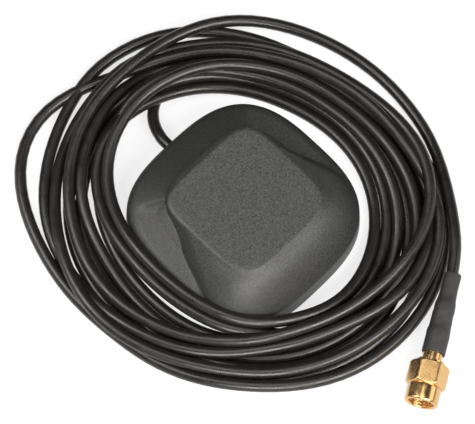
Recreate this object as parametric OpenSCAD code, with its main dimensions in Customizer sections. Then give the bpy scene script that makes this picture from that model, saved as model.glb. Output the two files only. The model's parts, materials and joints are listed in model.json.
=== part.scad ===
// Magnetic GPS antenna: a moulded two-part puck with a patch antenna inside, a long thin
// coaxial lead wound in a loose coil round it, and a screw-on coaxial plug on its end.
// Millimetres. The origin is the centre of the puck's underside, +Z is up, the cable leaves
// the puck towards -X and the wide front slope of the cover faces +X.

/* [Housing outside] */
// Side of the puck across its flat sides
housing_side = 48; // [46:0.5:52]
// Height of the flat top above the surface
housing_height = 15.5; // [15.2:0.1:17]
// Roundness of the puck's outline, higher is squarer
outline_power = 2.95; // [2.6:0.05:4]
// Height of the lower edge of the cover's skirt above the surface
skirt_z = 0.4; // [0.2:0.1:0.8]
// Height at which the near-vertical wall ends and the rim's rounding starts
wall_top_z = 5.8; // [5.5:0.1:6.5]
// How far the wall leans in from its foot to its top
wall_draft = 0.25; // [0:0.05:0.5]
// Width of the rim's rounding, seen from above
rim_run = 4; // [3:0.1:5]
// Height of the rim's rounding at the puck's sides
rim_rise = 2.9; // [2.2:0.1:3.5]
// How much lower the rim is at the front, and higher at the back
rim_tilt = 0.7; // [0:0.1:1]

/* [Raised block] */
// Distance of the flat top's front edge inside the puck's front side
front_slope_run = 8.6; // [8:0.1:9.2]
// Distance of the flat top's back edge inside the puck's back side
back_slope_run = 10.9; // [10:0.1:11.2]
// Distance of the flat top's side edges inside the puck's sides
side_slope_run = 9.7; // [9:0.1:10]
// Roundness of the flat top's outline, higher is squarer
plateau_power = 4.2; // [3:0.1:6]
// Rounding where the flat top breaks into the slopes
plateau_round = 0.9; // [0.4:0.1:1.2]
// Distance of the raised block's back edge inside the puck's back side
block_back_inset = 9.8; // [9.2:0.1:10]
// Distance of the raised block's flared side planes inside the puck's sides
block_side_inset = 8.4; // [7.8:0.1:8.8]
// Angle at which the block's sides flare towards the front
block_flare = 24; // [15:1:30]
// Width of the small step down to the side flanges
side_step_run = 0.6; // [0.4:0.1:1]
// Width of the small step down to the back flange
back_step_run = 1.1; // [0.6:0.1:1.5]
// Slope of the flat side flanges
side_flange_slope = 9; // [5:1:15]
// Slope of the back flange, where the cable leaves
back_flange_slope = 28; // [20:1:32]

// How far the front slope bulges out of a straight line
front_bulge = 1.1; // [0.6:0.1:1.3]

/* [Housing inside] */
// Thickness of the cover's roof
roof = 1.7; // [1.4:0.1:2]
// Width of the rebate in the skirt that takes the base plate, from the outer face
skirt_wall = 1.5; // [1.3:0.1:1.8]
// Thickness of the wall above the rebate
upper_wall = 3; // [2.8:0.1:3.2]
// Height of the rounded part of the wall that stays full thickness inside
wall_rise = 0.5; // [0.3:0.1:0.6]
// Distance of the cover's inner face behind the foot of the small step
step_wall = 0.4; // [0.3:0.1:0.6]
// Gap all round between the base plate and the skirt
base_clearance = 0.2; // [0.1:0.05:0.3]
// Thickness of the base plate
base_floor = 1.4; // [1.2:0.1:1.6]
// Width of the shoulder on the base plate that carries the gasket
shoulder = 1.9; // [1.6:0.1:2.2]
// Height of the base plate's locating wall
spigot_z = 3; // [2.8:0.1:3.3]
// Thickness of the base plate's locating wall
spigot_wall = 1.4; // [1.2:0.1:1.8]
// Thickness of the sealing gasket
gasket_t = 0.95; // [0.8:0.05:1]
// Gap between the gasket and the ledge above it
ledge_gap = 0.05; // [0.03:0.01:0.1]
// Gap between the gasket and the locating wall
gasket_gap = 0.1; // [0.05:0.05:0.2]

/* [Base screws] */
// Distance of each screw from the middle along X, as a share of half the puck's side
screw_spread = 0.375; // [0.3:0.005:0.4]
// Distance of each screw inside the puck's side along Y
screw_inset = 6; // [5.9:0.1:6.4]
// Thread diameter of the screws
screw_d = 2; // [1.8:0.1:2.2]
// Diameter of the screws' countersunk heads
screw_head_d = 3.6; // [3.2:0.1:3.8]
// Length of the screws, head included
screw_len = 6; // [5:0.1:6.4]
// Depth of the heads below the underside
screw_sunk = 0.1; // [0.05:0.05:0.3]
// Radial gap round a screw in the base plate
screw_gap = 0.15; // [0.1:0.05:0.25]
// Radial gap round a screw in its boss
pilot_gap = 0.01; // [0.01:0.01:0.03]
// Gap between the screw bosses in the cover and the base plate
boss_gap = 0.1; // [0.05:0.05:0.2]
// Depth of the screw holes past the screws' tips
pilot_spare = 0.3; // [0.2:0.1:0.6]
// Diameter of the screw bosses in the cover
boss_d = 4; // [3.6:0.1:4.2]
// Width of the cross recess in the screw heads
recess_w = 0.5; // [0.4:0.1:0.6]
// Length of the cross recess in the screw heads
recess_len = 2; // [1.6:0.1:2.2]
// Depth of the cross recess in the screw heads
recess_depth = 0.7; // [0.5:0.1:0.9]

/* [Antenna and board] */
// Distance that the board and patch sit forward of the centre
board_x = 0.8; // [0.5:0.1:1]
// Distance of the ceramic patch's sides inside the corners of the flat top
patch_inset = 0.05; // [0.05:0.05:1]
// Thickness of the ceramic patch
patch_t = 4; // [3.5:0.1:4.2]
// Distance of the silvered face's edge inside the patch's edge
electrode_inset = 2.25; // [1.5:0.25:3.5]
// Thickness of the silvered face
electrode_t = 0.1; // [0.05:0.01:0.12]
// Thickness of the adhesive pad under the patch
adhesive_t = 0.15; // [0.1:0.05:0.2]
// Distance of the adhesive pad's edge inside the patch's edge
adhesive_inset = 1; // [0.5:0.25:2.5]
// Width of the board's border round the patch
board_border = 1; // [0.5:0.25:1.25]
// Thickness of the circuit board
board_t = 0.8; // [0.6:0.1:1]
// Gap between the cable's shield and the board above it
solder_gap = 0.05; // [0.03:0.01:0.1]
// Width of the four posts that carry the board
post_w = 2.4; // [2:0.1:3]
// Distance of the posts' centres inside the board's edge
post_inset = 1.9; // [1.6:0.1:2.1]
// Distance of the feed pin behind the patch's centre
feed_offset = 3; // [2:0.1:4]
// Diameter of the feed pin
feed_d = 0.8; // [0.6:0.1:1]
// Diameter of the feed pin's head
feed_head_d = 1.8; // [1.4:0.1:2]
// Thickness of the feed pin's head
feed_head_t = 0.3; // [0.2:0.05:0.4]
// How far the feed pin shows below the board
feed_tail = 0.7; // [0.4:0.1:0.8]
// Radial gap round the feed pin
feed_gap = 0.1; // [0.05:0.05:0.2]
// Distance of the shield can's sides inside the board's edge
can_inset = 5; // [4.75:0.25:6]
// Gap between the shield can and the magnet
can_gap = 0.2; // [0.15:0.05:0.3]
// Sheet thickness of the shield can
can_sheet = 0.2; // [0.15:0.05:0.3]
// Side of the amplifier chip
chip_side = 3; // [2:0.5:4]
// Thickness of the amplifier chip
chip_t = 0.8; // [0.5:0.1:1]
// Length of the filter
filter_len = 3.8; // [3:0.1:5]
// Width of the filter
filter_w = 3; // [2:0.1:3.8]
// Thickness of the filter
filter_t = 1; // [0.6:0.1:1.1]
// Distance of the chip and the filter from the can's middle, as a share of the can's side
chip_spread = 0.2; // [0.18:0.01:0.24]

/* [Magnet] */
// Distance of the magnet's edge inside the puck's side
magnet_inset = 15; // [14.75:0.25:17]
// Thickness of the magnet
magnet_t = 1.6; // [1.2:0.1:1.65]
// Radial gap between the magnet and its ring
magnet_gap = 0.1; // [0.05:0.05:0.2]
// Thickness of the ring that holds the magnet
magnet_ring = 1; // [0.8:0.1:1.2]
// Height of the ring that holds the magnet
magnet_ring_h = 1; // [0.6:0.1:1.4]

/* [Cable] */
// Outer diameter of the coaxial cable
cable_d = 2.8; // [2.5:0.05:2.9]
// Diameter of the cable's shield
braid_d = 1.7; // [1.6:0.05:1.8]
// Diameter of the cable's inner insulation
core_d = 1.5; // [1.3:0.05:1.55]
// Diameter of the cable's inner wire
wire_d = 0.5; // [0.4:0.05:0.6]
// Height of the hole for the cable above the ledge in the skirt
exit_rise = 0.02; // [0.02:0.01:0.1]
// Radial gap between the cable and the hole in the cover
exit_gap = 0.08; // [0.05:0.01:0.15]
// Length of shield bared inside the puck
braid_bared = 2.8; // [2.2:0.1:3]
// Length of inner insulation bared inside the puck
core_bared = 1.2; // [0.8:0.1:1.4]
// Length of wire bared inside the puck
wire_bared = 1.2; // [0.8:0.1:1.3]
// Distance of the jacket's inner end behind the board's edge
jacket_space = 1.9; // [1.7:0.1:2.3]
// Length of the rubber bush that seals the cable inside the puck
bush_len = 3; // [2.5:0.1:3.2]
// Diameter of the rubber bush
bush_d = 4.6; // [4.2:0.1:4.8]
// Gap between the rubber bush and what holds it
bush_gap = 0.05; // [0.03:0.01:0.1]

/* [Coiled lead] */
// Gap between the puck's front corners and the coil
coil_gap = 0.8; // [0.5:0.1:1.5]
// Width of the coil's bundle, seen from above
coil_band = 19.7; // [18.5:0.1:20]
// Height of the coil
coil_h = 8; // [7.5:0.1:8.5]
// Rounding of the coil's upper edges
coil_round = 3; // [2:0.1:3.6]
// Distance of the coil's centre behind the puck's centre
coil_back = 1; // [0.8:0.1:1.2]

/* [Plug] */
// Distance of the plug's axis outside the coil's edge
plug_aside = 2.2; // [2:0.1:2.6]
// Distance of the nut's mouth past the point where the plug's axis is nearest to the coil
plug_ahead = 33.65; // [30:0.05:36]
// Size of the nut across its flats
nut_af = 8; // [7.9:0.1:8]
// Length of the coupling nut
nut_len = 9.4; // [9:0.1:9.8]
// Length of the nut's round front collar
collar_len = 4; // [3:0.1:4.4]
// Diameter of the nut's round front collar
collar_d = 7.6; // [7.2:0.1:7.8]
// Chamfer on the hexagon's corners
hex_chamfer = 0.5; // [0.3:0.1:0.6]
// Minor diameter of the thread in the nut
thread_d = 5.7; // [5.6:0.05:5.8]
// Diameter of the plug's body where the nut turns on it
bearing_d = 5.2; // [5.1:0.05:5.3]
// Radial running gap between the nut and the body
bearing_gap = 0.06; // [0.03:0.01:0.09]
// Axial gap between the nut and the body's collar
nut_end_gap = 0.1; // [0.05:0.05:0.2]
// Diameter of the body's rear collar
body_collar_d = 6.2; // [5.8:0.1:6.6]
// Length of the body's rear collar
body_collar_len = 0.6; // [0.5:0.1:1]
// Distance of the contact face behind the nut's mouth
face_depth = 2.9; // [2.7:0.1:3.1]
// Outer diameter of the outer contact
shell_d = 4.6; // [4.5:0.05:4.65]
// Inner diameter of the outer contact
shell_bore = 4.1; // [4:0.05:4.2]
// Distance of the body's shoulder behind the nut's mouth
shoulder_depth = 4.9; // [4.85:0.05:5.1]
// Diameter of the hole through the insulator
insulator_bore = 1.3; // [1.28:0.01:1.4]
// Gap between the insulator and the outer contact
insulator_gap = 0.02; // [0.01:0.01:0.05]
// Diameter of the centre pin
pin_d = 0.92; // [0.9:0.01:0.94]
// How far the pin stands out of the contact face
pin_out = 2; // [1.8:0.1:2.2]
// Length of the pin's pointed tip
pin_tip_len = 0.5; // [0.3:0.05:0.6]
// Diameter at the end of the pin's tip
pin_tip_d = 0.45; // [0.3:0.05:0.5]
// Diameter of the pin inside the insulator
pin_root_d = 1.27; // [1.2:0.01:1.27]
// Wire thickness of the nut's retaining ring
ring_t = 0.7; // [0.6:0.05:0.75]
// Distance of the retaining ring behind the nut's mouth
ring_depth = 7; // [6.8:0.1:7.2]
// Outer diameter of the retaining ring
ring_d = 5.7; // [5.6:0.05:5.75]
// Inner diameter of the retaining ring
ring_bore = 4.5; // [4.4:0.05:4.6]
// Gap round the retaining ring in its grooves
ring_gap = 0.1; // [0.05:0.01:0.12]
// Opening in the retaining ring
ring_opening = 50; // [30:5:80]
// Thickness of the plug's sealing washer
washer_t = 0.5; // [0.4:0.05:0.6]
// Gap round the plug's sealing washer
washer_gap = 0.05; // [0.03:0.01:0.08]
// Outer diameter of the crimp ferrule
ferrule_d = 4.5; // [4.3:0.1:4.6]
// Wall thickness of the crimp ferrule
ferrule_wall = 0.45; // [0.4:0.05:0.5]
// Length of the crimp ferrule
ferrule_len = 7.4; // [6.6:0.1:8]
// Outer diameter of the body's rear stem
stem_d = 2.5; // [2.3:0.05:2.6]
// Diameter of the hole through the body's rear stem
stem_bore = 1.7; // [1.65:0.05:1.8]
// Length of the body's rear stem
stem_len = 6.4; // [5.8:0.1:7]
// Gap between the pieces that are crimped on the stem
crimp_gap = 0.03; // [0.02:0.01:0.05]

/* [Heat shrink] */
// Length of the heat-shrink sleeve
sleeve_len = 19.6; // [18:0.1:21]
// Length of ferrule left bare at the nut's end
ferrule_bare = 1.9; // [1.5:0.1:2.5]
// Wall thickness of the sleeve over the cable
sleeve_wall = 0.5; // [0.4:0.05:0.6]
// Wall thickness of the sleeve over the ferrule
sleeve_wide_wall = 0.38; // [0.3:0.02:0.5]
// Gap between the sleeve and what it holds
sleeve_gap = 0.04; // [0.02:0.01:0.05]
// Length over which the sleeve widens from the cable to the ferrule
sleeve_taper = 6; // [4:0.5:7]

/* [Hidden] */
$fn = 48;

// Heights that follow from the stack in the base
ledge_z = base_floor + gasket_t + ledge_gap;
exit_z = ledge_z + exit_rise + exit_gap + cable_d / 2;
board_z = exit_z + braid_d / 2 + solder_gap;
can_h = board_z - base_floor - magnet_t - can_gap;
// Insets of the base plate's floor and of its locating wall
base_inset = skirt_wall + base_clearance;
spigot_inset = base_inset + shoulder;

// Steps round the puck's outline
outline_steps = 72;
half = housing_side / 2;
// Distances of the flat top's edges and of the raised block's planes from the centre
plateau_front = half - front_slope_run;
plateau_back = half - back_slope_run;
plateau_side = half - side_slope_run;
block_back = half - block_back_inset;
block_side = half - block_side_inset;
// The rim's quarter ellipse starts high where a flange meets it, and low where the front slope does
rim_starts = [25, 70];
// Angles from the front between which the front slope turns into the side flanges
front_turn = [52, 84];
// Angles from the front between which the side flange turns into the back flange
flange_turn = [120, 142];
// Small overlap that makes a cut or a joined piece clean
eps = 0.01;

// Colours
black_plastic = [0.10, 0.10, 0.11];
black_jacket = [0.04, 0.04, 0.045];
gold = [0.83, 0.62, 0.30];
silver = [0.75, 0.75, 0.76];

// Distance from the centre to a rounded outline in direction a
function rounded_edge(a, front, back, side, power) =
    pow(pow(max(cos(a), 0) / front, power) + pow(max(-cos(a), 0) / back, power)
        + pow(abs(sin(a)) / side, power), -1 / power);

// The puck's outline, drawn in by an inset
function outline_r(a, inset) =
    rounded_edge(a, half - inset, half - inset, half - inset, outline_power);

// The flat top's outline, moved out by grow
function plateau_r(a, grow) =
    rounded_edge(a, plateau_front + grow, plateau_back + grow, plateau_side + grow, plateau_power);

// The raised block's back plane and flared side planes, with no front
function block_r(a, side_grow, back_grow) =
    let (side_part = max(0, abs(sin(a)) * cos(block_flare) - cos(a) * sin(block_flare)),
        back_part = max(0, -cos(a)))
    pow(pow(back_part / (block_back + back_grow), 8)
        + pow(side_part / (block_side + side_grow), 8) + 1e-30, -1 / 8);

// The smaller of two distances, rounded where they cross
function soft_min(p, q) = pow(pow(p, -14) + pow(q, -14), -1 / 14);

// A smooth step from 0 to 1 between two angles
function turn(a, limits) =
    let (t = min(1, max(0, (a - limits[0]) / (limits[1] - limits[0])))) t * t * (3 - 2 * t);

// The rim's rounding: its inset from the outline and its height
function rim_inset(u) = wall_draft + rim_run * (1 - sin(u));
function rim_z(a, u) = wall_top_z + (rim_rise - rim_tilt * cos(a)) * cos(u);

// How far a direction belongs to the front slope, and where the rim starts there
function from_front(a) = a > 180 ? 360 - a : a;
function front_share(a) = 1 - turn(from_front(a), front_turn);
function rim_start(a) = rim_starts[0] + (rim_starts[1] - rim_starts[0]) * front_share(a);
function flange_r(a) = outline_r(a, rim_inset(rim_start(a)));
function flange_z(a) = rim_z(a, rim_start(a));

// The slope from the flat top's edge to the rim: straight, but bulging at the front
function slope_z(a, r) =
    let (inner = plateau_r(a, 0), top = housing_height - plateau_round / 3,
        t = (r - inner) / (flange_r(a) - inner))
    top - (top - flange_z(a)) * t + 4 * front_bulge * front_share(a) * t * (1 - t);

// The small step between the raised block and the flange
function step_top_r(a) =
    max(plateau_r(a, plateau_round), soft_min(outline_r(a, rim_inset(rim_start(a)) + 0.5),
        block_r(a, 0, 0)));
function step_foot_r(a) =
    max(plateau_r(a, plateau_round + side_step_run),
        soft_min(outline_r(a, rim_inset(rim_start(a)) + 0.2), block_r(a, side_step_run, back_step_run)));
function flange_slope(a) =
    side_flange_slope + (back_flange_slope - side_flange_slope) * turn(from_front(a), flange_turn);
function step_foot_z(a) =
    let (on_slope = slope_z(a, step_foot_r(a)) - 0.02,
        on_flange = min(on_slope, flange_z(a) + (flange_r(a) - step_foot_r(a)) * tan(flange_slope(a))))
    on_flange + (on_slope - on_flange) * front_share(a);

// A place on the slope between the flat top and the small step
function slope_ring(a, share) =
    let (from = plateau_r(a, plateau_round * 0.6), r = from + (step_top_r(a) - from) * share)
    [r, slope_z(a, r)];

// The cover's outer face as rings from the flat top down, each [radius, height] in direction a
outer_rings = 14;
function rim_ring(a, share) =
    let (u = rim_start(a) + (90 - rim_start(a)) * share) [outline_r(a, rim_inset(u)), rim_z(a, u)];
function outer_ring(k, a) =
    k == 0 ? [plateau_r(a, -plateau_round), housing_height]
    : k == 1 ? [plateau_r(a, 0), housing_height - plateau_round / 6]
    : k == 2 ? [plateau_r(a, plateau_round * 0.6), slope_z(a, plateau_r(a, plateau_round * 0.6))]
    : k <= 6 ? slope_ring(a, (k - 2) / 4)
    : k == 7 ? [step_foot_r(a), step_foot_z(a)]
    : k == 8 ? [flange_r(a), flange_z(a)]
    : k <= 10 ? rim_ring(a, (k - 8) / 3)
    : k == 11 ? [outline_r(a, wall_draft), wall_top_z]
    : k == 12 ? [outline_r(a, 0), skirt_z]
    : [outline_r(a, skirt_wall), skirt_z];

// The cover's inner face, from the skirt's rebate up to the roof
inner_rings = 6;
function inner_ring(k, a) =
    k == 0 ? [outline_r(a, skirt_wall), ledge_z]
    : k == 1 ? [outline_r(a, upper_wall), ledge_z]
    : k == 2 ? [outline_r(a, upper_wall), wall_top_z + wall_rise]
    : k == 3 ? [outline_r(a, rim_inset(rim_starts[0]) + roof), rim_z(a, rim_starts[0]) - roof]
    : k == 4 ? let (r = min(step_foot_r(a) - step_wall, outline_r(a, rim_inset(rim_starts[0]) + roof) - 0.1),
            rise = front_share(a) * (slope_z(a, r) - slope_z(a, step_foot_r(a))))
        [r, step_foot_z(a) - roof + rise]
    : [plateau_r(a, -roof), housing_height - roof];

function ring_points(rings, k, outside) =
    [for (i = [0 : outline_steps - 1])
        let (a = i * 360 / outline_steps, p = outside ? outer_ring(k, a) : inner_ring(k, a))
        [p[0] * cos(a), p[0] * sin(a), p[1]]];

// One closed shell: outer rings from the top centre down, then inner rings up to the roof's centre
module cover_shell() {
    n = outline_steps;
    rings = outer_rings + inner_rings;
    points = concat([[0, 0, housing_height]],
        [for (k = [0 : outer_rings - 1]) each ring_points(outer_rings, k, true)],
        [for (k = [0 : inner_rings - 1]) each ring_points(inner_rings, k, false)],
        [[0, 0, housing_height - roof]]);
    last = len(points) - 1;
    faces = concat(
        [for (i = [0 : n - 1]) [0, 1 + (i + 1) % n, 1 + i]],
        [for (k = [0 : rings - 2], i = [0 : n - 1])
            [1 + k * n + i, 1 + k * n + (i + 1) % n, 1 + (k + 1) * n + i]],
        [for (k = [0 : rings - 2], i = [0 : n - 1])
            [1 + k * n + (i + 1) % n, 1 + (k + 1) * n + (i + 1) % n, 1 + (k + 1) * n + i]],
        [for (i = [0 : n - 1])
            [1 + (rings - 1) * n + i, 1 + (rings - 1) * n + (i + 1) % n, last]]);
    polyhedron(points, faces);
}

// A flat outline of the puck, drawn in by an inset
module outline_2d(inset) {
    polygon([for (i = [0 : outline_steps - 1])
        let (a = i * 360 / outline_steps, r = outline_r(a, inset)) [r * cos(a), r * sin(a)]]);
}

// The four screw places
screw_x = half * screw_spread;
screw_y = half * pow(1 - pow(screw_spread, outline_power), 1 / outline_power) - screw_inset;
module at_screws() {
    for (x = [-screw_x, screw_x], y = [-screw_y, screw_y]) translate([x, y, 0]) children();
}

// A cylinder along X from one place to another, at the cable's height
module rod_x(from, to, d) {
    translate([from, 0, exit_z]) rotate([0, 90, 0]) cylinder(h = to - from, d = d);
}

// Sizes of the antenna and of its board, which follow from the flat top above them
patch_side = 2 * (plateau_r(45, 0) * sin(45) - patch_inset);
electrode_side = patch_side - 2 * electrode_inset;
adhesive_side = patch_side - 2 * adhesive_inset;
board_side = patch_side + 2 * board_border;
post_pos = board_side / 2 - post_inset;
can_side = board_side - 2 * can_inset;
chip_offset = can_side * chip_spread;
magnet_d = 2 * (half - magnet_inset);

// The cable's places inside the puck, counted from the centre towards the back
exit_x = -(half - wall_draft * (exit_z - skirt_z) / (wall_top_z - skirt_z));
bush_start = -(half - spigot_inset) + bush_gap;
braid_start = board_x - board_side / 2 - jacket_space;
core_start = braid_start + braid_bared;
wire_start = core_start + core_bared;
wire_end = wire_start + wire_bared;

// The moulded cover: flat top, wide front slope, flared block, stepped flanges and rounded rim
boss_foot = spigot_z + boss_gap;
boss_top = wall_top_z + rim_rise * 0.8;
screw_top = screw_sunk + screw_len;
module top_cover() {
    color(black_plastic)
    difference() {
        union() {
            cover_shell();
            at_screws() translate([0, 0, boss_foot]) cylinder(h = boss_top - boss_foot, d = boss_d);
        }
        rod_x(-half - 1, -(half - upper_wall) + 1, cable_d + 2 * exit_gap);
        at_screws() translate([0, 0, boss_foot - eps])
            cylinder(h = screw_top + pilot_spare - boss_foot, d = screw_d + 2 * pilot_gap);
    }
}

// The base plate: floor, locating wall, board posts, magnet ring and cradle for the bush
module base_plate() {
    color(black_plastic)
    difference() {
        union() {
            linear_extrude(base_floor) outline_2d(base_inset);
            difference() {
                linear_extrude(spigot_z) outline_2d(spigot_inset);
                translate([0, 0, base_floor]) linear_extrude(spigot_z) outline_2d(spigot_inset + spigot_wall);
            }
            at_screws() cylinder(h = spigot_z, d = boss_d);
            for (x = [-post_pos, post_pos], y = [-post_pos, post_pos])
                translate([board_x + x - post_w / 2, y - post_w / 2, 0]) cube([post_w, post_w, board_z]);
            difference() {
                cylinder(h = base_floor + magnet_ring_h, d = magnet_d + 2 * (magnet_gap + magnet_ring));
                translate([0, 0, base_floor]) cylinder(h = magnet_ring_h + 1, d = magnet_d + 2 * magnet_gap);
            }
        }
        rod_x(bush_start - 2, bush_start + bush_len + bush_gap, bush_d + 2 * bush_gap);
        at_screws() {
            translate([0, 0, -1]) cylinder(h = spigot_z + 2, d = screw_d + 2 * screw_gap);
            translate([0, 0, -eps]) cylinder(h = screw_sunk + eps, d = screw_head_d + 2 * screw_gap);
            translate([0, 0, screw_sunk])
                cylinder(h = (screw_head_d - screw_d) / 2, d1 = screw_head_d + 2 * screw_gap,
                    d2 = screw_d + 2 * screw_gap, $fn = 32);
        }
    }
}

// Soft gasket squeezed between the base plate's shoulder and the ledge in the skirt
module sealing_gasket() {
    color([0.16, 0.16, 0.17])
    translate([0, 0, base_floor])
    linear_extrude(gasket_t) difference() {
        outline_2d(base_inset);
        outline_2d(spigot_inset - gasket_gap);
    }
}

// Countersunk cross-recess screws that hold the base plate to the cover
module base_screws() {
    color([0.55, 0.55, 0.56])
    at_screws() translate([0, 0, screw_sunk]) difference() {
        rotate_extrude($fn = 32) polygon([[0, 0], [screw_head_d / 2, 0],
            [screw_d / 2, (screw_head_d - screw_d) / 2], [screw_d / 2, screw_len - 0.6], [0.2, screw_len],
            [0, screw_len]]);
        for (turned = [0, 90]) rotate([0, 0, turned])
            translate([-recess_len / 2, -recess_w / 2, -eps]) cube([recess_len, recess_w, recess_depth]);
    }
}

// Round magnet on the floor of the base
module magnet() {
    color([0.35, 0.35, 0.37])
    translate([0, 0, base_floor]) cylinder(h = magnet_t, d = magnet_d);
}

// Heights of the stack above the board
board_top = board_z + board_t;
patch_z = board_top + adhesive_t;
electrode_z = patch_z + patch_t;
feed_x = board_x - feed_offset;

// A square plate centred on the board, with a hole for the feed pin
module plate(side, z, t, hole_d) {
    difference() {
        translate([board_x - side / 2, -side / 2, z]) cube([side, side, t]);
        translate([feed_x, 0, z - 1]) cylinder(h = t + 2, d = hole_d, $fn = 32);
    }
}

// Circuit board that carries the patch above and the amplifier below
module circuit_board() {
    color([0.05, 0.30, 0.14]) plate(board_side, board_z, board_t, feed_d + 2 * feed_gap);
}

// Ceramic block of the patch antenna
module patch_ceramic() {
    color([0.78, 0.72, 0.62]) plate(patch_side, patch_z, patch_t, feed_d + 2 * feed_gap);
}

// Silvered top face of the patch
module patch_electrode() {
    color(silver) plate(electrode_side, electrode_z, electrode_t, feed_d + 2 * feed_gap);
}

// Double-sided pad that holds the patch on the board
module adhesive_pad() {
    color([0.9, 0.9, 0.88]) plate(adhesive_side, board_top, adhesive_t, feed_d + 4 * feed_gap);
}

// Riveted pin from the patch's silvered face down to the board
module feed_pin() {
    color(silver) translate([feed_x, 0, 0]) rotate_extrude($fn = 32) polygon([
        [0, board_z - feed_tail], [feed_d / 2, board_z - feed_tail],
        [feed_d / 2, electrode_z + electrode_t], [feed_head_d / 2, electrode_z + electrode_t],
        [feed_head_d / 2 - 0.1, electrode_z + electrode_t + feed_head_t],
        [0, electrode_z + electrode_t + feed_head_t]]);
}

// Folded sheet can over the amplifier, open towards the board
module shield_can() {
    color(silver) translate([board_x - can_side / 2, -can_side / 2, board_z - can_h]) difference() {
        cube([can_side, can_side, can_h]);
        translate([can_sheet, can_sheet, can_sheet])
            cube([can_side - 2 * can_sheet, can_side - 2 * can_sheet, can_h]);
    }
}

// Amplifier chip on the underside of the board
module amplifier_chip() {
    color([0.12, 0.12, 0.12])
    translate([board_x + chip_offset - chip_side / 2, -chip_offset - chip_side / 2, board_z - chip_t])
        cube([chip_side, chip_side, chip_t]);
}

// Band filter beside the amplifier
module saw_filter() {
    color([0.85, 0.75, 0.45])
    translate([board_x - chip_offset - filter_len / 2, chip_offset - filter_w / 2, board_z - filter_t])
        cube([filter_len, filter_w, filter_t]);
}

// Rubber bush that seals and holds the cable inside the back wall
module cable_bush() {
    color([0.15, 0.15, 0.15]) difference() {
        rod_x(bush_start, bush_start + bush_len, bush_d);
        rod_x(bush_start - 1, bush_start + bush_len + 1, cable_d + 2 * exit_gap);
    }
}

// Cable jacket from the puck's outer face to its stripped end
module cable_jacket_rear() {
    color(black_jacket) rod_x(exit_x, braid_start, cable_d);
}

// Shield laid bare and soldered to the board's edge
module cable_braid_rear() {
    color([0.62, 0.60, 0.58]) rod_x(braid_start, core_start, braid_d);
}

// Inner insulation past the shield
module cable_core_rear() {
    color([0.92, 0.92, 0.90]) rod_x(core_start, wire_start, core_d);
}

// Inner wire, bent up to its pad on the board
module cable_wire_rear() {
    color([0.72, 0.45, 0.28]) {
        rod_x(wire_start, wire_end, wire_d);
        translate([wire_end, 0, exit_z]) sphere(d = wire_d, $fn = 32);
        translate([wire_end, 0, exit_z]) cylinder(h = board_z - exit_z, d = wire_d, $fn = 32);
    }
}

// The coil lies round the puck's corners
coil_hole_r = outline_r(45, 0) + coil_back + coil_gap;
coil_r = coil_hole_r + coil_band;

// The plug lies on a flat of its nut; its axis runs past the coil's edge and out of the nut's mouth
plug_turn = -60;
nut_axis_z = nut_af / 2;
plug_mouth = [-coil_back, 0] + (coil_r + plug_aside) * [-sin(plug_turn), cos(plug_turn)]
    + plug_ahead * [cos(plug_turn), sin(plug_turn)];

// Distances behind the nut's mouth
nut_back = nut_len;
collar_front = nut_back + nut_end_gap;
collar_back = collar_front + body_collar_len;
ferrule_back = collar_back + ferrule_len;
stem_back = collar_back + stem_len;
sleeve_front = collar_back + ferrule_bare;
sleeve_back = sleeve_front + sleeve_len;
jacket_front_end = ferrule_back + 0.1;
jacket_back_end = sleeve_back - 1;
insulator_back = collar_front - 0.3;
thread_len = shoulder_depth + nut_end_gap;

// Points along the free cable where it isn't coiled: first from the puck's wall, then to the sleeve
lead_steps = [[0, 0, 0], [-1.76, 0, 0], [-3.56, 0.3, -0.2], [-5.36, 0.9, -0.5], [-7.16, 1.7, -0.9]];
tail_steps = [[-21.8, 17.57], [-17.7, 15.27], [-13.7, 12.87], [-9.9, 10.27], [-6.4, 7.47],
    [-3.2, 4.37], [-0.5, 0.87], [0, 0]];
tail_end = plug_mouth - jacket_back_end * [cos(plug_turn), sin(plug_turn)];
lead_points = [for (p = lead_steps) p + [exit_x, 0, exit_z]];
tail_points = [for (p = tail_steps) [tail_end[0] + p[0], tail_end[1] + p[1], nut_axis_z]];

// A round tube swept along points, level enough that +Z gives each ring its upright
cable_sides = 8;
function unit(v) = v / norm(v);
function direction(points, i) =
    unit(points[min(i + 1, len(points) - 1)] - points[max(i - 1, 0)]);
module swept_tube(points, d) {
    n = cable_sides;
    count = len(points);
    rim = [for (i = [0 : count - 1])
        let (ahead = direction(points, i), across = unit(cross(ahead, [0, 0, 1])), up = cross(across, ahead))
        for (j = [0 : n - 1])
            let (a = (j + 0.5) * 360 / n) points[i] + d / 2 * (cos(a) * across + sin(a) * up)];
    sides = [for (i = [0 : count - 2], j = [0 : n - 1])
        [i * n + j, i * n + (j + 1) % n, (i + 1) * n + (j + 1) % n, (i + 1) * n + j]];
    near = [for (j = [0 : n - 1]) n - 1 - j];
    far = [for (j = [0 : n - 1]) (count - 1) * n + j];
    polyhedron(rim, concat(sides, [near, far]), convexity = 4);
}

// Free cable from the puck to the coil
module cable_lead() {
    color(black_jacket) swept_tube(lead_points, cable_d);
}

// A quarter circle of points, counter-clockwise from an angle
arc_steps = 5;
function arc(x, y, r, from) =
    [for (i = [0 : arc_steps]) let (a = from + i * 90 / arc_steps) [x + r * cos(a), y + r * sin(a)]];

// The coil as one closed ring of its outer shape, with cable-round lower edges
module cable_coil() {
    foot = cable_d / 2;
    color(black_jacket) translate([-coil_back, 0, 0]) rotate_extrude($fn = 96) polygon(concat(
        arc(coil_hole_r + foot, foot, foot, 180), arc(coil_r - foot, foot, foot, 270),
        arc(coil_r - coil_round, coil_h - coil_round, coil_round, 0),
        arc(coil_hole_r + coil_round, coil_h - coil_round, coil_round, 90)));
}

// Free cable from the coil to the plug
module cable_tail() {
    color(black_jacket) swept_tube(tail_points, cable_d);
}

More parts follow.
